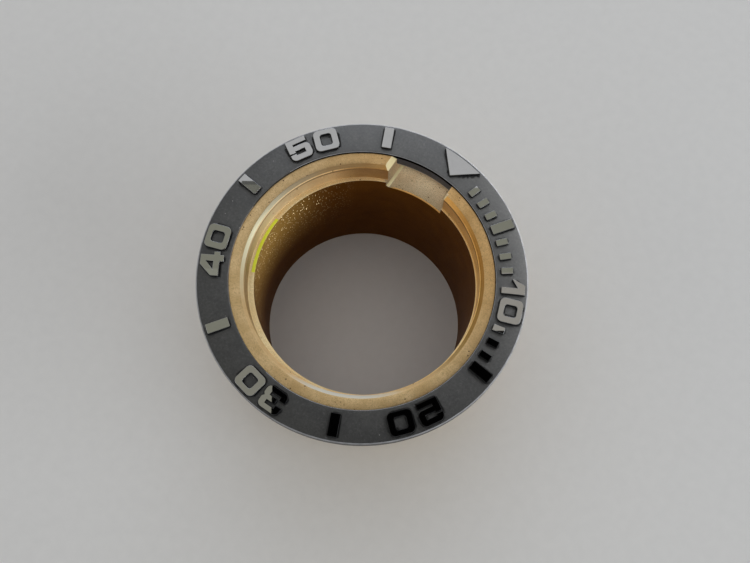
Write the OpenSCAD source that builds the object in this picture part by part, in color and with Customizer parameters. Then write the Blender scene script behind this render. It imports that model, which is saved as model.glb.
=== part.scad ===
// Sixty-minute watch bezel insert, seated on a turned brass holding sleeve.
// Millimetres. +Z is up, and the origin is the centre of the sleeve's bottom face.
// +Y runs through the middle of the notch in the sleeve's rim.

/* [Insert ring] */
// Outer diameter of the insert
insert_od = 38.0; // [37.8:0.1:42]
// Width of the ring from its bore to its outer edge
band_w = 3.72; // [3.5:0.02:4.2]
// Thickness of the insert at its bore
insert_h = 2.2; // [1.9:0.1:3]
// How far the face falls from the bore to the outer edge
face_drop = 0.15; // [0:0.05:0.5]
// Bevel round the outer top edge
edge_bevel = 0.12; // [0.05:0.01:0.2]
// Bevel round the outer bottom edge
under_bevel = 0.35; // [0.1:0.05:0.6]
// Bevel on both edges of the bore
bore_bevel = 0.08; // [0.03:0.01:0.2]
// Angle of the triangle from the middle of the notch, clockwise seen from above
insert_turn = 11.3; // [0:0.1:359]

/* [Markers] */
// Distance from the bore to the inner ends of the markers
marker_inset = 0.6; // [0.45:0.01:0.7]
// Height of the markers' polished tops above the inner edge of the face
marker_rise = 0.4; // [0.2:0.01:0.6]
// Depth of the pockets below the inner edge of the face
pocket_depth = 0.8; // [0.6:0.05:1.2]
// Bond gap between a marker's foot and its pocket, on the walls and the floor
bond_gap = 0.02; // [0.01:0.01:0.05]
// Width of the triangle along its outer side, in minutes of the scale
triangle_span = 2.88; // [2.4:0.02:3.2]
// Length of the triangle along the radius
triangle_l = 2.64; // [2.2:0.01:2.8]
// Width of a five-minute bar, in minutes of the scale
bar_span = 0.63; // [0.5:0.01:0.8]
// Length of a five-minute bar
bar_l = 2.62; // [2.2:0.01:2.8]
// Width of a minute tick, in minutes of the scale
tick_span = 0.42; // [0.3:0.01:0.6]
// Length of a minute tick
tick_l = 1.34; // [1:0.01:2]
// Corner radius of the bars and ticks
bar_corner_r = 0.08; // [0.04:0.01:0.2]

/* [Numerals] */
// Height of the digits
digit_h = 2.68; // [2.5:0.01:2.8]
// Width of the zeros, in minutes of the scale
zero_span = 1.585; // [1.5:0.005:1.62]
// Width of the two, the three, the four and the five, in minutes of the scale
digit_span = 1.5; // [1.45:0.01:1.55]
// Gap between the two digits of a number, in minutes of the scale
gap_span = 0.31; // [0.2:0.01:0.35]
// Thickness of the upright strokes, in minutes of the scale
stroke_span = 0.42; // [0.33:0.01:0.46]
// Thickness of the level strokes
stroke_h = 0.62; // [0.5:0.01:0.66]
// Outer corner radius of the round digits
digit_corner_r = 0.62; // [0.4:0.01:0.75]
// Corner radius of the opening in a zero
zero_hole_r = 0.3; // [0.1:0.01:0.35]
// Height of the open slot in a two and a five
slot_h = 0.24; // [0.15:0.01:0.3]
// Height of the slit that leads into the bowl of a two and a five
slit_h = 0.14; // [0.1:0.01:0.2]
// Depth of the waist on the right of the three
waist_depth = 0.2; // [0.05:0.01:0.3]
// How far the four is wider than its place, on its right
four_reach = 0.16; // [0:0.01:0.2]
// How far the flag of the one reaches out from its stem, in minutes of the scale
flag_span = 0.58; // [0.45:0.01:0.62]

/* [Holding sleeve] */
// Width of the shoulder outside the spigot
shoulder_w = 1.57; // [1.2:0.01:2.8]
// Width of the spigot's wall from its outside to the sleeve's bore
spigot_w = 2.18; // [2:0.01:3.2]
// Height of the shoulder above the base
shoulder_h = 21.9; // [12:0.1:40]
// Height of the spigot above the shoulder
spigot_h = 2.15; // [1.6:0.05:2.4]
// Running gap between the spigot and the insert's bore, on the radius
spigot_gap = 0.05; // [0.02:0.01:0.1]
// Bevel on the outer edges of the base and the shoulder
sleeve_bevel = 0.4; // [0.1:0.05:0.6]
// Bevel at the lower end of the bore
bore_mouth_bevel = 0.3; // [0.1:0.05:0.6]
// Width of the bevel at the inner edge of the rim
rim_bevel_w = 0.48; // [0.2:0.02:0.6]
// Height of the bevel at the inner edge of the rim
rim_bevel_h = 0.4; // [0.2:0.05:0.6]
// Height of the recess's wall below the rim's bevel
recess_h = 2.88; // [1.4:0.01:3.6]
// Width of the ledge between the recess and the bore
ledge_w = 0.43; // [0.2:0.01:0.6]

/* [Notch] */
// Width of the notch across the rim
notch_w = 7.35; // [4.5:0.05:9]
// Depth of the notch below the rim
notch_depth = 4.65; // [2.5:0.05:7]

/* [Seat washer] */
// Thickness of the washer between the shoulder and the insert
washer_t = 0.2; // [0.1:0.05:0.5]
// Gap between the washer and the spigot, on the radius
washer_gap = 0.1; // [0.05:0.01:0.2]
// Distance from the washer's outer edge to the bevel of the shoulder
washer_inset = 0.1; // [0:0.05:0.3]

/* [Hidden] */
$fn = 120;

// Minutes that carry a bar, a tick and a number
bar_minutes = [5, 15, 25, 35, 45, 55];
tick_minutes = [2, 3, 4, 6, 7, 8, 12, 13, 14];
number_minutes = [10, 20, 30, 40, 50];
degrees_per_minute = 360 / 60;

// Radii
insert_r = insert_od / 2;
insert_bore_r = insert_r - band_w;
spigot_r = insert_bore_r - spigot_gap;
sleeve_r = spigot_r + shoulder_w;
sleeve_bore_r = spigot_r - spigot_w;
marker_r = insert_bore_r + marker_inset;
digit_mid_r = marker_r + digit_h / 2;

// Widths round the ring
triangle_w = width_of(triangle_span);
bar_w = width_of(bar_span);
tick_w = width_of(tick_span);
zero_w = width_of(zero_span);
digit_w = width_of(digit_span);
digit_gap = width_of(gap_span);
stroke_v = width_of(stroke_span);
flag_reach = width_of(flag_span);

// Heights
rim_z = shoulder_h + spigot_h;
notch_z = rim_z - notch_depth;
seat_z = shoulder_h + washer_t;
face_z = seat_z + insert_h;
edge_z = face_z - face_drop;
marker_top_z = face_z + marker_rise;
pocket_z = face_z - pocket_depth;
past = 1;

// The one: its stem is as wide as an upright stroke
one_w = stroke_v + flag_reach;

// Angles that put two digits side by side round the middle of their minute
one_turn = turn_of((one_w - digit_gap - zero_w - stroke_v) / 2);
ten_zero_turn = turn_of((one_w + digit_gap) / 2);
first_turn = turn_of((-digit_gap - zero_w) / 2);
zero_turn = turn_of((digit_w + digit_gap) / 2);

// Width that so many minutes take at the middle of the digits, to a hundredth of a millimetre
function width_of(minutes) = round(minutes * 2 * PI * digit_mid_r / 60 * 100) / 100;

// Angle that an arc of this length takes at the middle of the digits
function turn_of(arc) = arc / digit_mid_r * 180 / PI;

// Unit vector square to an edge, on the right of its direction
function edge_normal(a, b) = [b.y - a.y, a.x - b.x] / norm(b - a);

// A counterclockwise outline with every edge moved out by g
function grown(points, g) = [
    for (i = [0 : len(points) - 1])
        let (
            last = points[(i + len(points) - 1) % len(points)],
            next = points[(i + 1) % len(points)],
            n1 = edge_normal(last, points[i]),
            n2 = edge_normal(points[i], next)
        )
        points[i] + g * (n1 + n2) / (1 + n1 * n2)
];

// Rounded rectangle about the origin with its outline moved out by g
module pad(w, h, r, g) {
    square([w - 2 * r, h + 2 * g], center = true);
    square([w + 2 * g, h - 2 * r], center = true);
    for (x = [-1, 1], y = [-1, 1])
        translate([x * (w / 2 - r), y * (h / 2 - r)])
            circle(r = r + g);
}

// Rectangle between two corners with its outline moved out by g
module block(x0, y0, x1, y1, g) {
    translate([x0 - g, y0 - g])
        square([x1 - x0 + 2 * g, y1 - y0 + 2 * g]);
}

module zero_outline(g) {
    difference() {
        pad(zero_w, digit_h, digit_corner_r, g);
        pad(zero_w - 2 * stroke_v, digit_h - 2 * stroke_h, zero_hole_r, -g);
    }
}

// The stem stands on the origin's line, and the flag falls away to its left
module one_outline(g) {
    stem = stroke_v / 2;
    top = digit_h / 2;
    tip = stem + flag_reach;
    tip_y = -top * 0.06;
    polygon(grown([
        [stem, -top],
        [stem, top],
        [-stem - flag_reach * 0.36, top],
        [-tip, tip_y],
        [-tip + stroke_v * 0.1, tip_y - stroke_h * 0.14],
        [-stem, top * 0.38],
        [-stem, -top]
    ], g));
}

// A five: a square-ended top bar over a round bowl that a slit opens on the left
module five_outline(g) {
    side = digit_w / 2;
    top = digit_h / 2;
    stem_right = -side + stroke_v;
    bar_right = side - stroke_v * 0.3;
    slot_top = top - stroke_h;
    bowl_top = slot_top - slot_h;
    counter_top = bowl_top - stroke_h;
    counter_bottom = -top + stroke_h * 1.1;
    slit_top = (counter_top + counter_bottom + slit_h) / 2;
    difference() {
        union() {
            block(-side, slot_top, bar_right, top, g);
            block(-side, bowl_top - digit_corner_r * 2, stem_right, top, g);
            translate([0, (bowl_top - top) / 2])
                pad(digit_w, bowl_top + top, digit_corner_r, g);
        }
        block(stem_right, counter_bottom, side - stroke_v, counter_top, -g);
        block(-side * 2, slit_top - slit_h, stem_right + 4 * g, slit_top, -g);
    }
}

module three_outline(g) {
    side = digit_w / 2;
    waist_side = side - waist_depth;
    counter_out = digit_h / 2 - stroke_h;
    middle = stroke_h / 2;
    difference() {
        pad(digit_w, digit_h, digit_corner_r, g);
        for (up = [0, 1])
            mirror([0, up])
                block(-side + stroke_v, middle, side - stroke_v, counter_out, -g);
        block(-side * 2, -middle, -side + stroke_v * 1.25, middle, -g);
        for (up = [0, 1])
            mirror([0, up])
                block(-side + stroke_v, 0, -side + stroke_v * 1.25, counter_out, -g);
        polygon(grown([
            [waist_side, 0],
            [waist_side + 2 * waist_depth, -2.4 * waist_depth],
            [waist_side + 2 * waist_depth, 2.4 * waist_depth]
        ], -g));
    }
}

module four_outline(g) {
    left = -digit_w / 2;
    side = digit_w / 2 + four_reach;
    top = digit_h / 2;
    stem_right = side - stroke_v * 0.5;
    stem_left = stem_right - stroke_v;
    bar_bottom = -top + stroke_h * 0.75;
    bar_top = bar_bottom + stroke_h * 1.15;
    slope_x = stem_left - stroke_v * 0.55;
    difference() {
        polygon(grown([
            [stem_left, -top],
            [stem_right, -top],
            [stem_right, bar_bottom],
            [side, bar_bottom],
            [side, bar_top],
            [stem_right, bar_top],
            [stem_right, top],
            [slope_x, top],
            [left, bar_top + stroke_h * 0.3],
            [left, bar_bottom],
            [stem_left, bar_bottom]
        ], g));
        polygon(grown([
            [left + stroke_v, bar_top],
            [stem_left, bar_top],
            [stem_left, top - stroke_h * 1.05]
        ], -g));
    }
}

// The triangle points at the bore, and its outer side follows the ring
module triangle_outline(g) {
    outer_r = marker_r + triangle_l;
    half = triangle_w / 2;
    end_y = sqrt(outer_r * outer_r - half * half);
    slope = half / (end_y - marker_r);
    intersection() {
        polygon(grown([
            [0, marker_r],
            [slope * 2 * triangle_l, marker_r + 2 * triangle_l],
            [-slope * 2 * triangle_l, marker_r + 2 * triangle_l]
        ], g));
        circle(r = outer_r + g);
    }
}

module bar_outline(g) {
    translate([0, marker_r + bar_l / 2])
        pad(bar_w, bar_l, bar_corner_r, g);
}

module tick_outline(g) {
    translate([0, marker_r + tick_l / 2])
        pad(tick_w, tick_l, bar_corner_r, g);
}

module first_digit_outline(number, g) {
    if (number == 10) one_outline(g);
    if (number == 20) mirror([0, 1]) five_outline(g);
    if (number == 30) three_outline(g);
    if (number == 40) four_outline(g);
    if (number == 50) five_outline(g);
}

// Turns what stands on +Y to a minute of the insert
module at_minute(minute) {
    rotate([0, 0, -insert_turn - minute * degrees_per_minute])
        children();
}

module at_digit(number, angle) {
    at_minute(number)
        rotate([0, 0, -angle])
            translate([0, digit_mid_r])
                children();
}

module first_digit_place(number, g) {
    at_digit(number, number == 10 ? one_turn : first_turn)
        first_digit_outline(number, g);
}

module second_digit_place(number, g) {
    at_digit(number, number == 10 ? ten_zero_turn : zero_turn)
        zero_outline(g);
}

// A marker stands on its bond in the pocket and rises to the polished plane
module raised() {
    color("silver")
        translate([0, 0, pocket_z + bond_gap])
            linear_extrude(marker_top_z - pocket_z - bond_gap)
                children();
}

module pockets() {
    translate([0, 0, pocket_z])
        linear_extrude(pocket_depth + past) {
            at_minute(0) triangle_outline(bond_gap);
            for (minute = bar_minutes)
                at_minute(minute) bar_outline(bond_gap);
            for (minute = tick_minutes)
                at_minute(minute) tick_outline(bond_gap);
            for (number = number_minutes) {
                first_digit_place(number, bond_gap);
                second_digit_place(number, bond_gap);
            }
        }
}

module insert_ring() {
    color("#3c3d40")
        difference() {
            rotate_extrude()
                polygon([
                    [insert_bore_r + bore_bevel, seat_z],
                    [insert_r - under_bevel, seat_z],
                    [insert_r, seat_z + under_bevel],
                    [insert_r, edge_z - edge_bevel],
                    [insert_r - edge_bevel, edge_z],
                    [insert_bore_r + bore_bevel, face_z],
                    [insert_bore_r, face_z - bore_bevel],
                    [insert_bore_r, seat_z + bore_bevel]
                ]);
            pockets();
        }
}

module seat_washer() {
    color("#ded9c8")
        rotate_extrude()
            polygon([
                [spigot_r + washer_gap, shoulder_h],
                [sleeve_r - sleeve_bevel - washer_inset, shoulder_h],
                [sleeve_r - sleeve_bevel - washer_inset, seat_z],
                [spigot_r + washer_gap, seat_z]
            ]);
}

module holding_sleeve() {
    ledge_z = rim_z - rim_bevel_h - recess_h;
    color("#b9955f")
        difference() {
            rotate_extrude()
                polygon([
                    [sleeve_bore_r + bore_mouth_bevel, 0],
                    [sleeve_r - sleeve_bevel, 0],
                    [sleeve_r, sleeve_bevel],
                    [sleeve_r, shoulder_h - sleeve_bevel],
                    [sleeve_r - sleeve_bevel, shoulder_h],
                    [spigot_r, shoulder_h],
                    [spigot_r, rim_z],
                    [sleeve_bore_r + ledge_w + rim_bevel_w, rim_z],
                    [sleeve_bore_r + ledge_w, rim_z - rim_bevel_h],
                    [sleeve_bore_r + ledge_w, ledge_z],
                    [sleeve_bore_r, ledge_z],
                    [sleeve_bore_r, bore_mouth_bevel]
                ]);
            translate([-notch_w / 2, 0, notch_z])
                cube([notch_w, sleeve_r + past, notch_depth + past]);
        }
}

module triangle_marker() {
    raised() at_minute(0) triangle_outline(0);
}

module bar(minute) {
    raised() at_minute(minute) bar_outline(0);
}

module tick(minute) {
    raised() at_minute(minute) tick_outline(0);
}

module first_digit(number) {
    raised() first_digit_place(number, 0);
}

module second_digit(number) {
    raised() second_digit_place(number, 0);
}

holding_sleeve();
seat_washer();
insert_ring();
triangle_marker();
bar(5);  // bar_05
bar(15);  // bar_15
bar(25);  // bar_25
bar(35);  // bar_35
bar(45);  // bar_45
bar(55);  // bar_55
tick(2);  // tick_02
tick(3);  // tick_03
tick(4);  // tick_04
tick(6);  // tick_06
tick(7);  // tick_07
tick(8);  // tick_08
tick(12);  // tick_12
tick(13);  // tick_13
tick(14);  // tick_14
first_digit(10);  // numeral_10_one
second_digit(10);  // numeral_10_zero
first_digit(20);  // numeral_20_two
second_digit(20);  // numeral_20_zero
first_digit(30);  // numeral_30_three
second_digit(30);  // numeral_30_zero
first_digit(40);  // numeral_40_four
second_digit(40);  // numeral_40_zero
first_digit(50);  // numeral_50_five
second_digit(50);  // numeral_50_zero
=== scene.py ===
import math

import bpy
from mathutils import Matrix, Vector


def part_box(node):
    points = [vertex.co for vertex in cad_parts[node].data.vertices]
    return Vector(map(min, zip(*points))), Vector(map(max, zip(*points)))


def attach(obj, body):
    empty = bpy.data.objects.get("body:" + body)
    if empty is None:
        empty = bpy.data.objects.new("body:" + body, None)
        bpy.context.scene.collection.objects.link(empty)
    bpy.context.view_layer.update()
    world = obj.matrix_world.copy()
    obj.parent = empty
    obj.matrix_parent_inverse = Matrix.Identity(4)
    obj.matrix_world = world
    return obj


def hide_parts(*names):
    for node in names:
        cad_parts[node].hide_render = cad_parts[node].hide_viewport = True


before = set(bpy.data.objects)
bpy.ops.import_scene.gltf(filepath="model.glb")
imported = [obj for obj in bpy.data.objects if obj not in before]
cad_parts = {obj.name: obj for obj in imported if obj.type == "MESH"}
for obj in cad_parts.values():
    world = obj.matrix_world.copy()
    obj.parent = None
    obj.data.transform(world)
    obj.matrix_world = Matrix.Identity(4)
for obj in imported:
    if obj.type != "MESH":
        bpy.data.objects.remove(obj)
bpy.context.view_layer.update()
mm = 0.001

# heights and radii in mm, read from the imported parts
ringLow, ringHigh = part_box("insert_ring")
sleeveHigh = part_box("holding_sleeve")[1]
seatHeight = ringLow.z / mm
faceHeight = ringHigh.z / mm
ringRadius = ringHigh.y / mm
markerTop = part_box("bar_05")[1].z / mm
rimHeight = sleeveHigh.z / mm
sleeveRadius = sleeveHigh.x / mm
markerNames = sorted(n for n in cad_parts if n.startswith(("triangle", "bar", "tick", "numeral")))
print("frame loaded:", len(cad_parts), "parts,", len(markerNames), "of them markers")


# what every piece uses

def deselectAll():
    if bpy.context.mode != "OBJECT":
        bpy.ops.object.mode_set(mode="OBJECT")
    bpy.ops.object.select_all(action="DESELECT")


def makeActive(piece):
    deselectAll()
    piece.select_set(True)
    bpy.context.view_layer.objects.active = piece


def pick(piece, kind, wanted):   # selects vertices or edges by their place, and stays in edit mode
    makeActive(piece)
    bpy.ops.object.mode_set(mode="EDIT")
    bpy.ops.mesh.select_mode(type=kind)
    bpy.ops.mesh.select_all(action="DESELECT")
    bpy.ops.object.mode_set(mode="OBJECT")
    places = [vertex.co / mm for vertex in piece.data.vertices]
    if kind == "VERT":
        for vertex, place in zip(piece.data.vertices, places):
            vertex.select = wanted(place)
    else:
        for edge in piece.data.edges:
            edge.select = all(wanted(places[v]) for v in edge.vertices)
    bpy.ops.object.mode_set(mode="EDIT")


def applyModifier(piece, modifier):
    makeActive(piece)
    bpy.ops.object.modifier_apply(modifier=modifier.name)


def turnOnLathe(name, profile, segments):
    deselectAll()
    radius, height = profile[0]
    bpy.ops.mesh.primitive_circle_add(vertices=segments, radius=radius * mm, fill_type="NOTHING",
                                      location=(0, 0, height * mm))
    piece = bpy.context.object
    piece.name = name
    bpy.ops.object.transform_apply(location=True, rotation=True, scale=True)
    bpy.ops.object.mode_set(mode="EDIT")
    bpy.ops.mesh.select_all(action="SELECT")
    for nextRadius, nextHeight in profile[1:] + profile[:1]:  # back to the first point closes the ring
        bpy.ops.mesh.extrude_edges_move(TRANSFORM_OT_translate={"value": (0, 0, (nextHeight - height) * mm)})
        grow = nextRadius / radius
        bpy.ops.transform.resize(value=(grow, grow, 1), center_override=(0, 0, 0))
        radius, height = nextRadius, nextHeight
    bpy.ops.mesh.select_all(action="SELECT")
    bpy.ops.mesh.remove_doubles(threshold=0.002 * mm)
    bpy.ops.mesh.normals_make_consistent(inside=False)
    bpy.ops.object.mode_set(mode="OBJECT")
    return piece


def roundEdges(piece, width, angle=30, segments=3):
    bevel = piece.modifiers.new("edgeRound", "BEVEL")
    bevel.width = width * mm
    bevel.segments = segments
    bevel.limit_method = "ANGLE"
    bevel.angle_limit = math.radians(angle)
    bevel.miter_outer = "MITER_ARC"
    applyModifier(piece, bevel)


def cutAway(piece, cutter):
    cut = piece.modifiers.new("cutAway", "BOOLEAN")
    cut.operation = "DIFFERENCE"
    cut.solver = "EXACT"
    cut.object = cutter
    applyModifier(piece, cut)
    bpy.data.objects.remove(cutter)


def clockwise(place):   # degrees from the notch, 0 to 360
    return math.degrees(math.atan2(place.x, place.y)) % 360


def smoothOver(piece, angle=30):
    makeActive(piece)
    bpy.ops.object.shade_smooth_by_angle(angle=math.radians(angle))


def evenShade(piece):
    shade = piece.modifiers.new("evenShade", "WEIGHTED_NORMAL")
    shade.keep_sharp = True
    applyModifier(piece, shade)


def paintFaces(piece, materials, chooser):   # the chooser gives one of the materials for a place and a normal
    piece.data.materials.clear()
    for material in materials:
        piece.data.materials.append(material)
    for face in piece.data.polygons:
        face.material_index = materials.index(chooser(face.center / mm, face.normal))


# what every material uses

def newMaterial(name, **settings):   # also gives the place on the piece, which its patterns follow
    material = bpy.data.materials.new(name)
    material.use_nodes = True
    shader = material.node_tree.nodes["Principled BSDF"]
    for socket, value in settings.items():
        shader.inputs[socket.replace("_", " ")].default_value = value
    place = addNode(material.node_tree, "ShaderNodeTexCoord").outputs["Object"]
    return material, material.node_tree, shader, place


def times(colour, share):
    return tuple(part * share for part in colour)


def addNode(tree, kind, settings=None, **inputs):
    node = tree.nodes.new(kind)
    for name, value in (settings or {}).items():
        setattr(node, name, value)
    for name, value in inputs.items():
        socket = node.inputs[int(name[2:]) if name.startswith("in") else name.replace("_", " ")]
        if isinstance(value, bpy.types.NodeSocket):
            tree.links.new(value, socket)
        else:
            socket.default_value = value
    return node


def noiseOn(tree, place, size, detail=3.0, roughness=0.55, dimensions="3D"):
    inputs = {"W" if dimensions == "1D" else "Vector": place, "Scale": 1 / (size * mm)}
    return addNode(tree, "ShaderNodeTexNoise", {"noise_dimensions": dimensions}, **inputs, Detail=detail,
                   Roughness=roughness).outputs["Fac"]


def remap(tree, value, low, high, newLow=0.0, newHigh=1.0):
    return addNode(tree, "ShaderNodeMapRange", None, Value=value, From_Min=low, From_Max=high,
                   To_Min=newLow, To_Max=newHigh).outputs["Result"]


def blendColours(tree, share, first, second, how="MIX"):
    node = addNode(tree, "ShaderNodeMix", {"data_type": "RGBA", "blend_type": how}, in0=share)
    for socket, value in ((node.inputs[6], first), (node.inputs[7], second)):
        if isinstance(value, bpy.types.NodeSocket):
            tree.links.new(value, socket)
        else:
            socket.default_value = (*value, 1)
    return node.outputs[2]


def combine(tree, how, first, second):
    return addNode(tree, "ShaderNodeMath", {"operation": how}, in0=first, in1=second).outputs[0]


def stretched(tree, place, scale, angle=0):
    mapped = addNode(tree, "ShaderNodeMapping", None, Vector=place)
    mapped.inputs["Rotation"].default_value = (0, 0, math.radians(angle))
    mapped.inputs["Scale"].default_value = scale
    return mapped.outputs[0]


def spotsOn(tree, place, spacing, size, share):   # dots in a share of the cells, and each cell's own numbers
    cells = addNode(tree, "ShaderNodeTexVoronoi", {"feature": "F1"}, Vector=place, Scale=1 / (spacing * mm))
    luck = addNode(tree, "ShaderNodeSeparateColor", None, Color=cells.outputs["Color"])
    lucky = remap(tree, luck.outputs[0], 1 - share, 1 - share + 0.001)
    reach = size / spacing
    dot = remap(tree, cells.outputs["Distance"], reach, reach * 0.6)
    return combine(tree, "MULTIPLY", lucky, dot), luck


def flecksOn(tree, place, spacing, size, share):   # upright flecks, each tipped its own way
    dot, luck = spotsOn(tree, stretched(tree, place, (1, 1, 0.5)), spacing, size, share)
    sideways = combine(tree, "SUBTRACT", luck.outputs[1], 0.5)
    across = combine(tree, "SUBTRACT", luck.outputs[2], 0.5)
    lean = addNode(tree, "ShaderNodeCombineXYZ", None, X=sideways, Y=across, Z=1.2)
    return dot, lean.outputs[0]


def bumpFrom(tree, height, depth, below=None):
    inputs = {"Height": height, "Distance": depth * mm, "Strength": 1.0}
    if below is not None:
        inputs["Normal"] = below
    return addNode(tree, "ShaderNodeBump", None, **inputs).outputs["Normal"]


# ceramic of the insert ring: dark, blasted to an even satin, paler where its edges are worn and where a
# highlight is painted on them

ceramicFinish = {
    "colour": (0.028, 0.0277, 0.0270),
    "patchColour": (0.037, 0.0363, 0.0345),
    "patchSize": 2.4,    # mm
    "mottleSize": 0.26,
    "darkest": 0.6,      # of the colour
    "palest": 1.7,       # of the patches' colour
    "edgeColour": (0.34, 0.34, 0.35),
    "rubSize": 0.9,
    "dustColour": (0.34, 0.33, 0.31),
    "dustSpacing": 0.8,
    "dustSize": 0.06,
    "dustShare": 0.07,
    "roughness": 0.46,
    "roughSpread": 0.05,
    "wornGloss": 0.14,   # how much smoother a worn edge is
    "grainSize": 0.10,
    "grainDepth": 0.005,
}


def ceramicMaterial(name, wearAndHighlight=0.0, tone=(1, 1, 1), gloss=0.5):
    look = ceramicFinish
    material, tree, shader, place = newMaterial(name, Specular_IOR_Level=gloss)
    patches = noiseOn(tree, place, look["patchSize"], detail=4)
    mottle = noiseOn(tree, place, look["mottleSize"], detail=3, roughness=0.7)
    grain = noiseOn(tree, place, look["grainSize"], detail=2)
    dust = spotsOn(tree, place, look["dustSpacing"], look["dustSize"], look["dustShare"])[0]
    colour = blendColours(tree, remap(tree, patches, 0.35, 0.65), look["colour"], look["patchColour"])
    dark = times(look["colour"], look["darkest"])
    pale = times(look["patchColour"], look["palest"])
    colour = blendColours(tree, remap(tree, mottle, 0.50, 0.28, 0.0, 0.8), colour, dark)
    colour = blendColours(tree, remap(tree, mottle, 0.54, 0.78, 0.0, 0.9), colour, pale)
    # paler edges: partly wear, partly a painted highlight
    if wearAndHighlight:
        paleShare = noiseOn(tree, place, look["rubSize"], detail=4)
        paleShare = remap(tree, paleShare, 0.25, 0.60, wearAndHighlight * 0.55, wearAndHighlight)
        colour = blendColours(tree, paleShare, colour, look["edgeColour"])
    colour = blendColours(tree, dust, colour, look["dustColour"])
    colour = blendColours(tree, 1.0, colour, tone, "MULTIPLY")
    tree.links.new(colour, shader.inputs["Base Color"])
    middle = look["roughness"] - look["wornGloss"] * wearAndHighlight
    rough = remap(tree, grain, 0.3, 0.7, middle - look["roughSpread"], middle + look["roughSpread"])
    tree.links.new(rough, shader.inputs["Roughness"])
    tree.links.new(bumpFrom(tree, grain, look["grainDepth"]), shader.inputs["Normal"])
    return material


# markers: tops polished like a mirror, walls painted dark as painted shade

markerFinish = {
    "topColour": (0.41, 0.41, 0.41),
    "topRoughness": 0.015,
    "edgeColour": (0.42, 0.42, 0.42),
    "edgeRoughness": 0.22,
    "dullEdgeColour": (0.05, 0.05, 0.05),
    "dullEdgeRoughness": 0.35,
    # these markers' edges are painted near black: a painted dark reflection
    "dullEdged": ("bar_15", "bar_25", "numeral_20", "numeral_30_three", "tick_13", "tick_14"),
    "wallColour": (0.010, 0.010, 0.011),
    "hazeSize": 0.5,     # mm
    "hairSize": 0.05,
    "hairAngle": 20,     # degrees
    "grainSize": 0.08,
    "edgeRound": 0.04,
    "pocketGap": 0.02,
}


def polishedMaterial(name, colour, roughness):
    material, tree, shader, place = newMaterial(name, Metallic=1.0)
    look = markerFinish
    haze = noiseOn(tree, place, look["hazeSize"], detail=4)
    hair = stretched(tree, place, (1, 0.05, 1), look["hairAngle"])   # hairlines of the last lapping
    lapped = noiseOn(tree, hair, look["hairSize"], detail=2)
    tone = blendColours(tree, remap(tree, haze, 0.3, 0.7), colour, times(colour, 0.95))
    tone = blendColours(tree, remap(tree, lapped, 0.5, 0.75, 0.0, 0.5), tone, times(colour, 0.9))
    tree.links.new(tone, shader.inputs["Base Color"])
    rough = remap(tree, haze, 0.3, 0.7, roughness * 0.7, roughness * 1.3)
    tree.links.new(rough, shader.inputs["Roughness"])
    tree.links.new(bumpFrom(tree, lapped, 0.00002), shader.inputs["Normal"])
    return material


def shadedWallMaterial():
    look = markerFinish
    material, tree, shader, place = newMaterial("markerShadedWall", Specular_IOR_Level=0.3)
    grain = noiseOn(tree, place, look["grainSize"], detail=2)
    # painted shade: the walls are darker than the ring's own ceramic
    tone = blendColours(tree, remap(tree, grain, 0.3, 0.7), look["wallColour"], times(look["wallColour"], 2))
    tree.links.new(tone, shader.inputs["Base Color"])
    tree.links.new(remap(tree, grain, 0.3, 0.7, 0.45, 0.6), shader.inputs["Roughness"])
    tree.links.new(bumpFrom(tree, grain, 0.003), shader.inputs["Normal"])
    return material


# brass of the sleeve: one metal, worked in several ways

brassTone = {
    "light": (0.76, 0.56, 0.30),
    "dark": (0.64, 0.45, 0.22),
    "patchSize": 2.2,       # mm
    "mottleSize": 0.30,
    "turningSize": 0.09,
    "fileMarkSize": 0.10,
    "fileMarkAngles": (25, -50),    # degrees
    "pit": (0.13, 0.07, 0.03),
    "pitSpacing": 0.55,
    "pitSize": 0.10,
    "pitDepth": 0.03,
    "flake": (1.0, 0.80, 0.46),
    "flakeSpacing": 0.25,
    "flakeSize": 0.075,
    "flakeReach": (6.5, 10.5),      # mm out on the painted-light side, from none to all
    "flakeRoughness": 0.34,
    "goldenTowards": -92,           # degrees clockwise from the notch, side painted brighter as painted light
    "goldenHeights": (6.5, 17.5),   # mm, painted light from none to all, growing upwards
    "paleTowards": 160,             # side where a whitish painted reflection lies on the bevel
    "paleReach": (12.2, 13.5),
    "roughSpread": 0.06,
}


def acrossSleeve(tree, place, around, low, high):
    towards = (math.sin(math.radians(around)), math.cos(math.radians(around)), 0)
    reach = addNode(tree, "ShaderNodeVectorMath", {"operation": "DOT_PRODUCT"}, in0=place, in1=towards)
    return remap(tree, reach.outputs["Value"], low * mm, high * mm)


def paintedWarmLightSide(share=1.0):   # painted light: the side tinted orange for warm light bounced onto it
    return 22, 3, 12, (1.0, 1 - 0.27 * share, 1 - 0.64 * share)


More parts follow.
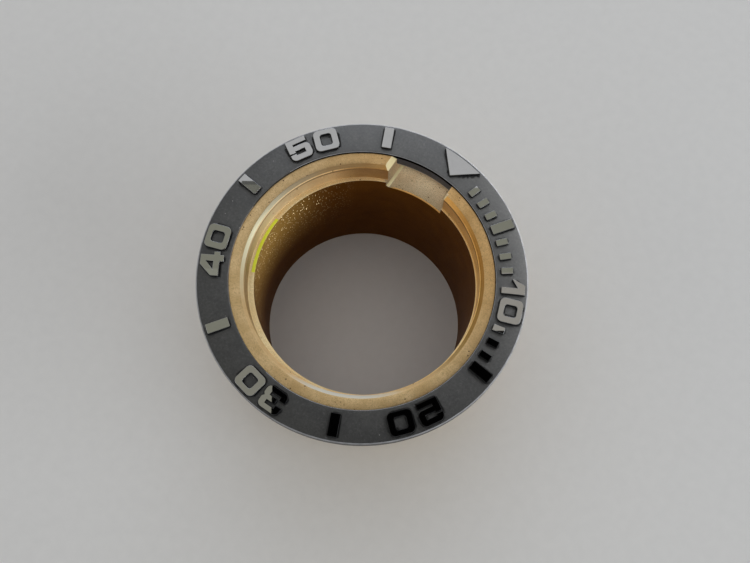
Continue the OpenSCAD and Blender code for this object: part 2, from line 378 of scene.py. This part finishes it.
def brassMaterial(name, light=None, dark=None, paintedLightColour=None, paintedLightReach=(8.5, 13), pale=None, metal=1.0,
                  roughness=0.4, grainSize=0.11, grainDepth=0.008, turning=0.0, pits=0.0, flakes=0.0,
                  scratches=0.0, tints=(), contrast=1.0, paintedFade=None, glancing=(1.0, 0.8, 0.5), gloss=0.5):
    look = brassTone
    light, dark = light or look["light"], dark or look["dark"]
    material, tree, shader, place = newMaterial(name, Metallic=metal, Specular_Tint=(*glancing, 1),
                                                Specular_IOR_Level=gloss)
    patches = noiseOn(tree, place, look["patchSize"], detail=4)
    mottle = noiseOn(tree, place, look["mottleSize"], detail=3, roughness=0.7)
    grain = noiseOn(tree, place, grainSize, detail=3)
    apart = addNode(tree, "ShaderNodeSeparateXYZ", None, Vector=place)
    flat = addNode(tree, "ShaderNodeCombineXYZ", None, X=apart.outputs["X"], Y=apart.outputs["Y"])
    length = addNode(tree, "ShaderNodeVectorMath", {"operation": "LENGTH"}, in0=flat.outputs[0])
    radius = length.outputs["Value"]
    colour = blendColours(tree, remap(tree, patches, 0.3, 0.7), light, dark)
    deep = times(dark, 1 - 0.35 * contrast)
    colour = blendColours(tree, remap(tree, mottle, 0.48, 0.72, 0.0, 0.7), colour, dark)
    colour = blendColours(tree, remap(tree, grain, 0.48, 0.75, 0.0, 0.8 * contrast), colour, deep)
    lowest, highest = look["goldenHeights"]
    litUpwards = remap(tree, apart.outputs["Z"], lowest * mm, highest * mm)
    # painted light: lighter towards the lit side and higher up
    if paintedLightColour:
        litShare = acrossSleeve(tree, place, look["goldenTowards"], *paintedLightReach)
        litShare = combine(tree, "POWER", litShare, 2.0)
        colour = blendColours(tree, combine(tree, "MULTIPLY", litShare, litUpwards), colour, paintedLightColour)
    # painted reflection: the bevel is whitened on one side
    if pale:
        paleShare = acrossSleeve(tree, place, look["paleTowards"], *look["paleReach"])
        colour = blendColours(tree, paleShare, colour, pale)
    # painted light and shade: each tint lightens or darkens the colour towards one side
    for around, low, high, tint in tints:
        colour = blendColours(tree, acrossSleeve(tree, place, around, low, high), colour, tint, "MULTIPLY")
    if paintedFade:  # painted light: darker towards the bore, brighter out under the ring's edge
        inner, outer, share = paintedFade
        shade = remap(tree, radius, inner * mm, outer * mm, share, 1.0)
        lit = addNode(tree, "ShaderNodeVectorMath", {"operation": "SCALE"}, in0=colour, Scale=shade)
        colour = lit.outputs[0]
    rough = remap(tree, grain, 0.3, 0.7, roughness - look["roughSpread"], roughness + look["roughSpread"])
    normal = bumpFrom(tree, grain, grainDepth)
    if turning:  # fine rings left by the lathe, along the radius and up the walls
        along = combine(tree, "ADD", radius, apart.outputs["Z"])
        rings = noiseOn(tree, along, look["turningSize"], detail=3, dimensions="1D")
        normal = bumpFrom(tree, rings, turning, below=normal)
        colour = blendColours(tree, remap(tree, rings, 0.45, 0.75, 0.0, 0.35), colour, dark)
    if scratches:  # criss-cross file marks
        for angle in look["fileMarkAngles"]:
            marks = noiseOn(tree, stretched(tree, place, (1, 0.06, 1), angle), look["fileMarkSize"], detail=3)
            colour = blendColours(tree, remap(tree, marks, 0.55, 0.75, 0.0, 0.5), colour, dark)
            normal = bumpFrom(tree, marks, scratches, below=normal)
    if pits:
        dots = spotsOn(tree, place, look["pitSpacing"], look["pitSize"], pits)[0]
        colour = blendColours(tree, dots, colour, look["pit"])
        normal = bumpFrom(tree, dots, -look["pitDepth"], below=normal)
    # flecks: real bumps tipped each way, coloured paler as painted glints on the lit side
    if flakes:
        flecks, lean = flecksOn(tree, place, look["flakeSpacing"], look["flakeSize"], flakes)
        litShare = acrossSleeve(tree, place, look["goldenTowards"], *look["flakeReach"])
        shiny = combine(tree, "MULTIPLY", combine(tree, "MULTIPLY", flecks, litShare), litUpwards)
        colour = blendColours(tree, shiny, colour, look["flake"])
        smoother = combine(tree, "MULTIPLY", shiny, roughness - look["flakeRoughness"])
        rough = combine(tree, "SUBTRACT", rough, smoother)
        lean = addNode(tree, "ShaderNodeVectorMath", {"operation": "SCALE"}, in0=lean, Scale=shiny)
        normal = addNode(tree, "ShaderNodeVectorMath", {"operation": "ADD"}, in0=normal, in1=lean.outputs[0])
        normal = addNode(tree, "ShaderNodeVectorMath", {"operation": "NORMALIZE"}, in0=normal.outputs[0])
        normal = normal.outputs[0]
        tree.links.new(remap(tree, shiny, 0, 1, metal, 1), shader.inputs["Metallic"])
    tree.links.new(colour, shader.inputs["Base Color"])
    tree.links.new(rough, shader.inputs["Roughness"])
    tree.links.new(normal, shader.inputs["Normal"])
    return material


# film of the seat washer: milky and thin

def filmMaterial():
    material, tree, shader, place = newMaterial("washerFilm", Subsurface_Weight=0.2, Subsurface_Scale=0.0003)
    cloud = noiseOn(tree, place, 0.6)
    tone = blendColours(tree, remap(tree, cloud, 0.3, 0.7), (0.72, 0.68, 0.56), (0.80, 0.77, 0.66))
    tree.links.new(tone, shader.inputs["Base Color"])
    tree.links.new(remap(tree, cloud, 0.3, 0.7, 0.38, 0.5), shader.inputs["Roughness"])
    tree.links.new(bumpFrom(tree, cloud, 0.004), shader.inputs["Normal"])
    return material


ceramicMatte = ceramicMaterial("ceramicMatte")
# outer edge: paler and smoother, partly worn and partly a painted highlight
ceramicWornEdgeHighlight = ceramicMaterial("ceramicWornEdgeHighlight", wearAndHighlight=1.0)
# painted highlight on the rounding at the top of the bore
ceramicBoreEdgeHighlight = ceramicMaterial("ceramicBoreEdgeHighlight", wearAndHighlight=0.62)
ceramicShade = ceramicMaterial("ceramicShade", tone=(0.05, 0.05, 0.05), gloss=0.0)   # painted shade: black top of the bore
ceramicWall = ceramicMaterial("ceramicWall", tone=(1.8, 2.1, 3.0))   # painted light: the bore below it, painted paler and bluish
ceramicPaleHighlight = ceramicMaterial("ceramicPaleHighlight", wearAndHighlight=0.8, tone=(0.90, 0.84, 0.74))   # painted highlight: top of the bore, left
markerPolished = polishedMaterial("markerPolished", markerFinish["topColour"], markerFinish["topRoughness"])
markerEdge = polishedMaterial("markerEdge", markerFinish["edgeColour"], markerFinish["edgeRoughness"])
markerDullEdge = polishedMaterial("markerDullEdge", markerFinish["dullEdgeColour"],
                                  markerFinish["dullEdgeRoughness"])
markerShadedWall = shadedWallMaterial()
# the land is tinted orange on one side and darkened towards another: painted light and shade
brassLand = brassMaterial("brassLand", light=(0.85, 0.635, 0.355), dark=(0.63, 0.435, 0.21), metal=0.85,
                          roughness=0.46, grainDepth=0.014, turning=0.002, pits=0.35,
                          tints=(paintedWarmLightSide(0.42), (-18, 2, 9, (0.87, 0.86, 0.87))))
# painted light and shade on the bevel: paler on the lit side, whitish painted reflection, orange warm light,
# darker on three sides
brassBevel = brassMaterial("brassBevel", light=(0.90, 0.67, 0.36), dark=(0.76, 0.51, 0.24),
                           paintedLightColour=(0.78, 0.75, 0.53), paintedLightReach=(9.5, 13.3), pale=(0.70, 0.68, 0.58),
                           metal=0.5, roughness=0.42, grainDepth=0.004, turning=0.001, contrast=0.6,
                           tints=(
                              paintedWarmLightSide(),
                              (-48, 9.5, 13, (0.53, 0.53, 0.57)),
                              (-70, 12.8, 13.5, (0.80, 0.80, 0.82)),
                              (68, 9, 12.5, (0.52, 0.45, 0.26)),
                          ))
# painted shade: a darker band on the wall under the rim's bevel
brassShadeBand = brassMaterial("brassShadeBand", light=(0.52, 0.34, 0.17), dark=(0.40, 0.25, 0.11),
                            paintedLightColour=(0.74, 0.53, 0.28), metal=0.0, roughness=0.50, grainDepth=0.006,
                            contrast=0.8, tints=(paintedWarmLightSide(),))
# the recess wall is painted lighter on its lit sides and darker on others: painted light and shade
brassRecess = brassMaterial("brassRecess", light=(0.94, 0.67, 0.34), dark=(0.76, 0.48, 0.21),
                            paintedLightColour=(1.0, 0.77, 0.43), paintedLightReach=(11, 13.3), metal=0.0, roughness=0.40,
                            grainDepth=0.010, turning=0.003, pits=0.12, flakes=0.12, contrast=0.8, gloss=0.3,
                            tints=(
                               paintedWarmLightSide(0.85),
                               (-20, 12.4, 13.3, (0.54, 0.48, 0.40)),
                               (-125, 11.3, 13.2, (0.40, 0.36, 0.29)),
                               (-62, 11.6, 13.0, (1.25, 1.32, 1.45)),
                               (82, 7, 12.5, (1.35, 1.42, 1.30)),
                           ))
# the ledge is tinted orange on one side and darkened near the notch: painted light and shade
brassLedge = brassMaterial("brassLedge", light=(1.0, 0.86, 0.53), dark=(0.92, 0.69, 0.36), metal=0.4,
                           roughness=0.25, grainDepth=0.003, turning=0.0015, pits=0.05, flakes=0.12,
                           tints=(paintedWarmLightSide(0.6), (-23, 12, 13.2, (0.92, 0.92, 0.94))))
brassEdgeHighlight = brassMaterial("brassEdgeHighlight", light=(0.86, 0.74, 0.44), dark=(0.78, 0.60, 0.32), metal=0.3,
                          roughness=0.30, grainDepth=0.004, contrast=0.6)   # painted highlight: sharp edges painted paler so they shine
# the bore is painted dark brown as painted shade for the dark it mirrors, lighter towards the lit side higher
# up
brassBore = brassMaterial("brassBore", light=(0.20, 0.075, 0.004), dark=(0.15, 0.050, 0.002),
                          paintedLightColour=(0.74, 0.45, 0.115), metal=0.15, roughness=0.40, grainDepth=0.008,
                          turning=0.002, flakes=0.80, glancing=(0.20, 0.09, 0.02), gloss=0.02)
brassNotch = brassMaterial("brassNotch", light=(1.0, 0.82, 0.54), dark=(0.80, 0.58, 0.34), metal=0.1,
                           roughness=0.50, grainSize=0.10, grainDepth=0.034, pits=0.35, scratches=0.024,
                           contrast=1.6, paintedFade=(13.1, 15.3, 0.50))
brassFacet = brassMaterial("brassFacet", light=(0.94, 0.86, 0.55), dark=(0.82, 0.70, 0.40), metal=0.1,
                           roughness=0.45, grainDepth=0.003, contrast=0.5)
limeMark = brassMaterial("limeMark", light=(0.88, 0.98, 0.08), dark=(0.80, 0.88, 0.05), metal=0.0,
                         roughness=0.35, grainDepth=0.002, contrast=0.3)   # painted reflection: a lime strip on the ledge
brassShadedNotchEnd = brassMaterial("brassShadedNotchEnd", light=(0.62, 0.46, 0.28), dark=(0.30, 0.19, 0.09), metal=0.1,
                         roughness=0.55, grainSize=0.09, grainDepth=0.040, contrast=1.4)   # notch's right end, rough, and painted darker as painted shade
brassBody = brassMaterial("brassBody", light=(0.83, 0.62, 0.33), dark=(0.76, 0.55, 0.28), roughness=0.24,
                          grainDepth=0.001, turning=0.008, pits=0.02, contrast=0.4)
washerFilm = filmMaterial()
print("materials made:", len(bpy.data.materials))


# markers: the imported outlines, with the edges of their tops rounded

def copyOfMarker(node, name):
    piece = bpy.data.objects.new(name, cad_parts[node].data.copy())
    bpy.context.scene.collection.objects.link(piece)
    makeActive(piece)
    bpy.ops.object.mode_set(mode="EDIT")
    bpy.ops.mesh.select_all(action="SELECT")
    bpy.ops.mesh.remove_doubles(threshold=0.001 * mm)
    bpy.ops.mesh.dissolve_limited(angle_limit=math.radians(1))
    bpy.ops.object.mode_set(mode="OBJECT")
    return piece


def selectTopEdges(piece):
    mesh = piece.data
    topZ = (markerTop - 0.01) * mm
    sides = {}
    for face in mesh.polygons:
        for key in face.edge_keys:
            sides.setdefault(key, []).append(face.normal.z)
    for edge in mesh.edges:
        ends = [mesh.vertices[v].co.z for v in edge.vertices]
        slopes = sides.get(edge.key, [])
        edge.select = min(ends) > topZ and bool(slopes) and min(slopes) < 0.5 < max(slopes)


def polishedMarker(node):
    piece = copyOfMarker(node, "polished_" + node)
    bpy.ops.object.mode_set(mode="EDIT")
    bpy.ops.mesh.select_all(action="DESELECT")
    bpy.ops.mesh.select_mode(type="EDGE")
    bpy.ops.object.mode_set(mode="OBJECT")
    selectTopEdges(piece)
    bpy.ops.object.mode_set(mode="EDIT")
    bpy.ops.mesh.bevel(offset=markerFinish["edgeRound"] * mm, segments=3, affect="EDGES")
    bpy.ops.object.mode_set(mode="OBJECT")
    edge = markerDullEdge if node.startswith(markerFinish["dullEdged"]) else markerEdge

    def finishOf(centre, normal):
        if normal.z > 0.99:
            return markerPolished
        return edge if normal.z > 0.15 else markerShadedWall

    paintFaces(piece, [markerPolished, edge, markerShadedWall], finishOf)
    smoothOver(piece, 40)
    for face in piece.data.polygons:
        face.use_smooth = abs(face.normal.z) < 0.999  # the flat top mirrors cleanly
    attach(piece, "insert")
    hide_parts(node)


for markerName in markerNames:
    polishedMarker(markerName)
print("markers polished:", len(markerNames))


# insert ring: turned, then the pockets cut for the markers' feet

ringShape = {
    "boreRadius": ringRadius - 3.72,
    "faceDrop": 0.20,
    "edgeBevel": 0.12,
    "underBevel": 0.35,
    "boreBevel": 0.05,
    "crownSteps": 10,
    "crownPower": 3.0,
    "shadeDepth": 0.62,   # painted shade: black band at the top of the bore
    "paleArc": (195, 275),   # where a painted highlight lies on its edge instead, degrees clockwise from the notch
    "darkFrom": 298,         # where the painted black band starts
    "edgeRound": 0.02,
    "segments": 288,
}


def insertRing():
    shape = ringShape
    bore, bevel = shape["boreRadius"], shape["boreBevel"]
    edgeHeight = faceHeight - shape["faceDrop"]
    outerRim, innerRim = ringRadius - shape["edgeBevel"], bore + bevel
    profile = [
        (innerRim, seatHeight),
        (ringRadius - shape["underBevel"], seatHeight),
        (ringRadius, seatHeight + shape["underBevel"]),
        (ringRadius, edgeHeight - shape["edgeBevel"]),
        (outerRim, edgeHeight),
    ]
    for step in range(shape["crownSteps"] - 1, 0, -1):   # the face falls away faster towards its outer edge
        share = step / shape["crownSteps"]
        fall = share ** shape["crownPower"] * shape["faceDrop"]
        profile.append((innerRim + share * (outerRim - innerRim), faceHeight - fall))
    profile += [
        (innerRim, faceHeight),
        (bore, faceHeight - bevel),
        (bore, faceHeight - shape["shadeDepth"]),
        (bore, seatHeight + bevel),
    ]
    piece = turnOnLathe("ceramic_ring", profile, shape["segments"])
    roundEdges(piece, shape["edgeRound"], angle=20)
    feet = [copyOfMarker(node, "foot") for node in markerNames]
    deselectAll()
    for foot in feet:
        foot.select_set(True)
    bpy.context.view_layer.objects.active = feet[0]
    bpy.ops.object.join()
    bpy.ops.object.mode_set(mode="EDIT")
    bpy.ops.mesh.select_all(action="SELECT")
    bpy.ops.transform.shrink_fatten(value=markerFinish["pocketGap"] * mm, use_even_offset=True)
    bpy.ops.object.mode_set(mode="OBJECT")
    cutAway(piece, feet[0])

    def wearAndPaintedLightAt(centre, normal):
        out = math.hypot(centre.x, centre.y)
        # the outer bevel: worn, with a painted highlight
        if out > ringRadius - shape["edgeBevel"] - 0.03:
            return ceramicWornEdgeHighlight if centre.z > edgeHeight - shape["edgeBevel"] - 0.01 else ceramicMatte
        if out > innerRim + 0.01 or centre.z < seatHeight + bevel:
            return ceramicMatte
        # below the band the bore is painted paler and bluish, as painted light
        if faceHeight - centre.z > shape["shadeDepth"]:
            return ceramicWall
        around = clockwise(centre)
        # on the left the bore's top carries a painted highlight instead of the painted shade
        if shape["paleArc"][0] < around < shape["darkFrom"]:
            return ceramicPaleHighlight if normal.z < 0.3 and around < shape["paleArc"][1] else ceramicMatte
        # the bore's rounded top edge takes a painted highlight; the band below it is painted shade
        return ceramicBoreEdgeHighlight if 0.3 < normal.z < 0.97 else ceramicShade

    paintFaces(piece, [ceramicMatte, ceramicWornEdgeHighlight, ceramicShade, ceramicWall, ceramicBoreEdgeHighlight, ceramicPaleHighlight],
               wearAndPaintedLightAt)
    smoothOver(piece, 25)
    evenShade(piece)
    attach(piece, "insert")
    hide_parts("insert_ring")
    return piece


ceramicRing = insertRing()
print("insert ring turned, pockets cut")


# holding sleeve: turned brass tube with a stepped rim and a milled notch

sleeveShape = {
    "spigotRadius": ringShape["boreRadius"] - 0.03,
    "boreRadius": 13.05,
    "shoulderHeight": 21.9,
    "bodyBevel": 0.4,
    "mouthBevel": 0.3,
    "rimSteps": ((14.25, 0), (13.94, 0.05), (13.57, 0.33), (13.48, 0.40)),   # radius, depth
    "ledgeDepth": 3.28,
    "boreOffset": (0.24, 0.13),   # the bore's mouth sits off the rim's centre
    "notchWidth": 7.35,
    "notchDepth": 4.65,
    "notchTurn": -5.5,      # degrees
    "notchPivot": 12.55,    # how far from the axis it turns
    "notchWall": ((-3.46, 14.85), (-3.61, 13.30)),   # its left wall, outer and inner end
    "notchFillet": 0.60,
    "notchLip": 0.14,       # chamfer between the notch's floor and the bore
    "grooveHeight": 0.42,   # painted shade: darker band under the rim's bevel
    "facetWidth": 0.65,     # filed corner at the left end of the rim
    "facetDepth": 0.50,
    "markArc": (247.5, 279.5),   # degrees clockwise from the notch, painted lime reflection on the ledge
    "markWidth": 0.27,
    "markShift": 0.5,       # how far the lime strip's outer edge follows the bore's mouth
    "cutterLength": 7,
    "cutterStart": 1.5,     # inside the bore's wall
    "edgeRound": 0.045,
    "segments": 240,
}


def cutPlanar(piece, corners, size=3.0):
    first, second, third = (Vector(corner) for corner in corners)
    normal = (second - first).cross(third - first).normalized()
    normal = normal if normal.z > 0 else -normal
    middle = (first + second + third) / 3 + normal * size / 2
    deselectAll()
    bpy.ops.mesh.primitive_cube_add(size=size * mm, location=middle * mm,
                                    rotation=normal.to_track_quat("Z", "Y").to_euler())
    cutter = bpy.context.object
    bpy.ops.object.transform_apply(location=True, rotation=True, scale=True)
    cutAway(piece, cutter)
    return normal


def notchCutter(floorHeight):
    shape = sleeveShape
    width, depth, length = shape["notchWidth"], shape["notchDepth"], shape["cutterLength"]
    middle = shape["boreRadius"] - shape["cutterStart"] + length / 2
    deselectAll()
    bpy.ops.mesh.primitive_cube_add(size=1, location=(0, middle * mm, (floorHeight + depth) * mm),
                                    scale=(width * mm, length * mm, 2 * depth * mm))
    cutter = bpy.context.object
    bpy.ops.object.transform_apply(location=True, rotation=True, scale=True)
    pick(cutter, "EDGE", lambda place: place.z < floorHeight + 0.1 and place.x < 0)
    bpy.ops.mesh.bevel(offset=shape["notchFillet"] * mm, segments=4, affect="EDGES")
    bpy.ops.mesh.select_all(action="SELECT")
    bpy.ops.transform.rotate(value=-math.radians(shape["notchTurn"]), orient_axis="Z",
                             center_override=(0, shape["notchPivot"] * mm, 0))
    bpy.ops.object.mode_set(mode="OBJECT")
    return cutter


def moveRing(piece, radius, height, share):   # shifts one edge of the ledge with the bore's mouth
    def onRing(place):
        return abs(math.hypot(place.x, place.y) - radius) < 0.1 and abs(place.z - height) < 0.1

    pick(piece, "VERT", onRing)
    offsetX, offsetY = sleeveShape["boreOffset"]
    bpy.ops.transform.translate(value=(offsetX * share * mm, offsetY * share * mm, 0))
    bpy.ops.object.mode_set(mode="OBJECT")


def chamferFloor(piece, floorHeight):
    reach = sleeveShape["boreRadius"] + 0.35   # the mouth of the bore is off centre

    def onLip(place):
        return abs(place.z - floorHeight) < 0.01 and place.y > 5 and math.hypot(place.x, place.y) < reach

    pick(piece, "EDGE", onLip)
    bpy.ops.mesh.bevel(offset=sleeveShape["notchLip"] * mm, segments=2, affect="EDGES")
    bpy.ops.object.mode_set(mode="OBJECT")


def holdingSleeve():
    shape = sleeveShape
    bore, spigot = shape["boreRadius"], shape["spigotRadius"]
    bodyBevel, mouth, shoulder = shape["bodyBevel"], shape["mouthBevel"], shape["shoulderHeight"]
    ledgeHeight = rimHeight - shape["ledgeDepth"]
    profile = [
        (bore + mouth, 0),
        (sleeveRadius - bodyBevel, 0),
        (sleeveRadius, bodyBevel),
        (sleeveRadius, shoulder - bodyBevel),
        (sleeveRadius - bodyBevel, shoulder),
        (spigot, shoulder),
        (spigot, rimHeight),
    ]
    profile += [(radius, rimHeight - depth) for radius, depth in shape["rimSteps"]]
    recess, bevelDepth = shape["rimSteps"][-1]
    shadeBandDepth = bevelDepth + shape["grooveHeight"]
    mark = bore + shape["markWidth"]
    profile += [
        (recess, rimHeight - shadeBandDepth),
        (recess, ledgeHeight),
        (mark, ledgeHeight),
        (bore, ledgeHeight),
        (bore, mouth),
    ]
    piece = turnOnLathe("brass_sleeve", profile, shape["segments"])
    moveRing(piece, mark, ledgeHeight, shape["markShift"])
    moveRing(piece, bore, ledgeHeight, 1.0)
    notchFloor = rimHeight - shape["notchDepth"]
    cutAway(piece, notchCutter(notchFloor))
    wallOut, wallIn = shape["notchWall"]
    wide, deep = shape["facetWidth"], shape["facetDepth"]
    facet = cutPlanar(piece, ((wallOut[0] - wide, wallOut[1], rimHeight), (*wallOut, rimHeight - deep),
                              (wallIn[0] - wide, wallIn[1], rimHeight)))
    chamferFloor(piece, notchFloor)
    roundEdges(piece, shape["edgeRound"], angle=24)
    halfNotch = shape["notchWidth"] / 2

    # how far below the rim each finish ends
    bands = ((0.04, brassLand), (0.34, brassBevel), (0.42, brassRecess), (shadeBandDepth, brassShadeBand))

    def notchAs(centre, normal):
        above = centre.z - notchFloor
        # the notch's right edges take a painted highlight
        if centre.x > 3 and above > 0.3 and -0.97 < normal.x < -0.15:
            return brassEdgeHighlight
        if above < -0.01:   # the lip
            return brassBevel if normal.z > 0.15 else brassBore
        # the fillet at the foot of the left wall is painted in the facet's paler brass: a painted highlight
        if centre.x < 0 and above < shape["notchFillet"]:
            return brassFacet if 0.3 < normal.x < 0.97 else brassNotch
        if normal.z > 0.8:
            return brassNotch
        if abs(normal.x) > 0.8:
            # the right end wall is painted darker: painted shade
            return brassNotch if centre.x < 0 else brassShadedNotchEnd
        return None

    def turnedAs(centre):
        out = math.hypot(centre.x, centre.y)
        if out > spigot - 0.03 or centre.z < mouth:
            return brassBody
        for lowest, finish in bands:
            if rimHeight - centre.z < lowest:
                return finish
        above = centre.z - ledgeHeight
        if above > 0.03:
            return brassRecess
        if above < -0.06:
            return brassBore
        # the ledge's rounded lower edge takes a painted highlight
        if above < -0.002:
            return brassEdgeHighlight
        # a lime strip on the ledge is a painted reflection
        inLimeReflection = shape["markArc"][0] < clockwise(centre) < shape["markArc"][1]
        return limeMark if inLimeReflection and out < bore + 0.1 else brassLedge

    def workedAs(centre, normal):
        atFacet = -5 < centre.x < -3 and centre.y > 0 and rimHeight - centre.z < 1
        if atFacet and normal.dot(facet) > 0.97:
            return brassFacet
        inNotch = centre.y > 0 and abs(centre.x) < halfNotch + 0.3 and centre.z > notchFloor - 0.2
        return (notchAs(centre, normal) if inNotch else None) or turnedAs(centre)

    paintFaces(piece, [brassLand, brassBevel, brassRecess, brassNotch, brassLedge, brassBore, brassFacet,
                       brassBody, limeMark, brassEdgeHighlight, brassShadeBand, brassShadedNotchEnd], workedAs)
    smoothOver(piece, 30)
    evenShade(piece)
    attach(piece, "sleeve")
    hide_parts("holding_sleeve")
    return piece


brassSleeve = holdingSleeve()
print("sleeve turned and notched")


# seat washer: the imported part, in its film

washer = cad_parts["seat_washer"]
washer.data.materials.clear()
washer.data.materials.append(washerFilm)


# camera, at the photograph's angle: the view turns about the middle of the insert's face

cameraPlace = {
    "lens": 44.84,          # mm on a 36 mm sensor
    "turn": 28.0,           # degrees the view is turned from the notch
    "tilt": 15.33,          # degrees off straight down
    "roll": 0.83,
    "offset": (1.47, -0.615, 106.52),   # mm from the middle of the face, along the camera's own axes
}


def makeCamera():
    place = cameraPlace
    camera = bpy.data.objects.new("photoCamera", bpy.data.cameras.new("photoCamera"))
    bpy.context.scene.collection.objects.link(camera)
    camera.data.lens = place["lens"]
    camera.data.sensor_width = 36
    camera.data.clip_start = 0.005
    aim = (Matrix.Rotation(math.radians(place["turn"]), 4, "Z")
           @ Matrix.Rotation(math.radians(place["tilt"]), 4, "X")
           @ Matrix.Rotation(math.radians(place["roll"]), 4, "Z"))
    centre = Matrix.Translation((0, 0, faceHeight * mm))
    camera.matrix_world = centre @ aim @ Matrix.Translation(Vector(place["offset"]) * mm)
    bpy.context.scene.camera = camera


makeCamera()


# studio: pale floor, soft lights, and cards that the polished tops reflect

studioLook = {
    "floorColour": (0.80, 0.79, 0.77),
    "floorSize": 1.6,   # m
    "worldColour": (0.30, 0.305, 0.31),
    # name: azimuth clockwise from the top of the image, elevation, distance mm, width mm, height mm, radiance
    "softboxes": {
        "overhead": (0, 72, 330, 460, 380, (0.60, 0.60, 0.60)),
        "window": (112, 26, 420, 340, 170, (2.15, 2.25, 2.35)),
        "farWindow": (4, 20, 420, 320, 130, (1.15, 1.30, 1.60)),
        "leftFill": (258, 28, 420, 320, 150, (0.80, 0.76, 0.68)),
        "warmWindow": (118, 28, 420, 340, 170, (0.72, 0.60, 0.38)),
        "kicker": (66, 32, 55, 44, 40, (4.0, 4.05, 4.1)),
        "topKicker": (0, 36, 58, 40, 40, (2.1, 2.22, 2.40)),
    },
    "ringOnly": ("kicker", "topKicker"),   # lights that reach the ring alone, and that only the floor shades
    "sleeveOnly": ("warmWindow",),         # as the notch lamp does
    "notchLamp": {"aim": (-0.1, 15.0, 19.4), "from": (180, 72, 60), "power": 0.050, "cone": 8.5, "soft": 5},
    # name: corners in mm on a level card at the camera's height, in the image's directions, and its radiance
    "cards": {
        "darkCard": (-20.8, -70, 60, 16.3, (0.001, 0.001, 0.001)),
        "greenishCard": (-70, 29.8, 70, 50.3, (0.44, 0.44, 0.355)),
        "greenishSide": (-70, 9.5, -29.5, 21.5, (0.44, 0.44, 0.355)),
        "footCard": (-70, 21.5, -29.5, 29.8, (0.52, 0.52, 0.43)),
        "lowCard": (-70, -70, -20.8, 9.5, (0.475, 0.465, 0.385)),
        "tenCard": (24, 16.3, 70, 29.8, (0.64, 0.61, 0.55)),
        "shadeCard": (-30, 44, -22, 51.2, (0.20, 0.202, 0.185)),
    },
    "cardHeight": 102.2,
}


def inRow(x, y):
    return Matrix.Rotation(math.radians(cameraPlace["turn"]), 2) @ Vector((x, y))


def makeFloor():
    deselectAll()
    bpy.ops.mesh.primitive_plane_add(size=studioLook["floorSize"], location=(0, 0, 0))
    floor = bpy.context.object
    floor.name = "pale_floor"
    material, tree, shader, place = newMaterial("paleFloor", Roughness=0.85, Specular_IOR_Level=0.2)
    fine = noiseOn(tree, place, 1.5, detail=4)
    colour = studioLook["floorColour"]
    tone = blendColours(tree, remap(tree, fine, 0.3, 0.7), colour, times(colour, 0.97))
    tree.links.new(tone, shader.inputs["Base Color"])
    floor.data.materials.append(material)
    return floor


def placeLamp(light, azimuth, elevation, distance, aim):
    lamp = bpy.data.objects.new(light.name, light)
    bpy.context.scene.collection.objects.link(lamp)
    a, e = math.radians(azimuth), math.radians(elevation)
    level = inRow(math.sin(a), math.cos(a)) * math.cos(e)
    away = Vector((level.x, level.y, math.sin(e)))
    lamp.location = (away * distance + Vector(aim)) * mm
    lamp.rotation_euler = away.to_track_quat("Z", "Y").to_euler()
    lamp.visible_camera = False
    return lamp


def only(lamp, purpose, part):
    group = bpy.data.collections.new(lamp.name + purpose)
    group.objects.link(part)
    if purpose == "Reaches":
        lamp.light_linking.receiver_collection = group
    else:
        lamp.light_linking.blocker_collection = group


def makeSoftbox(floor, name, azimuth, elevation, distance, width, height, radiance):
    light = bpy.data.lights.new(name, "AREA")
    light.shape = "RECTANGLE"
    light.size = width * mm
    light.size_y = height * mm
    strength = max(radiance)
    light.color = [part / strength for part in radiance]
    light.energy = strength * math.pi * light.size * light.size_y
    lamp = placeLamp(light, azimuth, elevation, distance, (0, 0, faceHeight))
    if name in studioLook["ringOnly"]:
        only(lamp, "Reaches", ceramicRing)
        only(lamp, "ShadedBy", floor)
    if name in studioLook["sleeveOnly"]:
        only(lamp, "Reaches", brassSleeve)


def makeNotchLamp():
    look = studioLook["notchLamp"]
    light = bpy.data.lights.new("notchLamp", "SPOT")
    light.energy = look["power"]
    light.spot_size = math.radians(look["cone"])
    light.spot_blend = 0.8
    light.shadow_soft_size = look["soft"] * mm
    only(placeLamp(light, *look["from"], look["aim"]), "Reaches", brassSleeve)


def makeCard(name, left, near, right, far, radiance):
    deselectAll()
    middle = inRow((left + right) / 2, (near + far) / 2)
    bpy.ops.mesh.primitive_plane_add(
        size=1, location=(middle.x * mm, middle.y * mm, (markerTop + studioLook["cardHeight"]) * mm),
        rotation=(0, 0, math.radians(cameraPlace["turn"])))
    card = bpy.context.object
    card.scale = ((right - left) * mm, (far - near) * mm, 1)
    card.name = name
    material = bpy.data.materials.new(name)
    material.use_nodes = True
    tree = material.node_tree
    tree.nodes.clear()
    glow = addNode(tree, "ShaderNodeEmission", None, Color=(*radiance, 1), Strength=1.0)
    output = addNode(tree, "ShaderNodeOutputMaterial")
    tree.links.new(glow.outputs[0], output.inputs["Surface"])
    card.data.materials.append(material)
    card.visible_camera = False
    card.visible_diffuse = False
    card.visible_shadow = False


def makeStudio():
    world = bpy.data.worlds.new("studio")
    bpy.context.scene.world = world
    world.use_nodes = True
    world.node_tree.nodes["Background"].inputs["Color"].default_value = (*studioLook["worldColour"], 1)
    floor = makeFloor()
    for name, place in studioLook["softboxes"].items():
        makeSoftbox(floor, name, *place)
    makeNotchLamp()
    for name, place in studioLook["cards"].items():
        makeCard(name, *place)
    bpy.context.scene.view_settings.view_transform = "Standard"


makeStudio()
print("studio lit")
